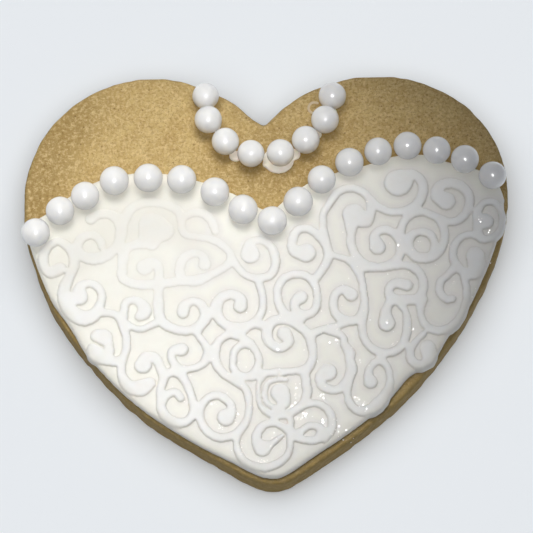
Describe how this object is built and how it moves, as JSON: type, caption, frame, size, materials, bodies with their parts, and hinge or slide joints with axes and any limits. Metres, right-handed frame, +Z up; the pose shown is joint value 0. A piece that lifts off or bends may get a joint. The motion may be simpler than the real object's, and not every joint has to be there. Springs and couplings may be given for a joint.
{
  "type": "heart cookie",
  "caption": "heart-shaped cookie with white scroll-embossed icing, a sweetheart neckline of sugar pearls and a pearl necklace",
  "frame": {"origin": "bottom centre of the cookie's bounding box, on the flat underside", "axes": "+Z up out of the decorated face, +X across the heart to the right, +Y from the tip to the lobes"},
  "size_m": [0.1039, 0.0924, 0.0153],
  "materials": {
    "biscuit": "baked golden brown, matt and finely porous",
    "fondant": "warm white, satin",
    "piping": "cream, satin",
    "pearl": "pearl white, pearlescent"
  },
  "bodies": {
    "root": {"cookie": "biscuit", "icing": "fondant", "necklace_icing": "piping", "neckline_pearl_01": "pearl", "neckline_pearl_02": "pearl", "neckline_pearl_03": "pearl", "neckline_pearl_04": "pearl", "neckline_pearl_05": "pearl", "neckline_pearl_06": "pearl", "neckline_pearl_07": "pearl", "neckline_pearl_08": "pearl", "neckline_pearl_09": "pearl", "neckline_pearl_10": "pearl", "neckline_pearl_11": "pearl", "neckline_pearl_12": "pearl", "neckline_pearl_13": "pearl", "neckline_pearl_14": "pearl", "neckline_pearl_15": "pearl", "neckline_pearl_16": "pearl", "neckline_pearl_17": "pearl", "necklace_pearl_01": "pearl", "necklace_pearl_02": "pearl", "necklace_pearl_03": "pearl", "necklace_pearl_04": "pearl", "necklace_pearl_05": "pearl", "necklace_pearl_06": "pearl", "necklace_pearl_07": "pearl", "necklace_pearl_08": "pearl"}
  },
  "joints": []
}
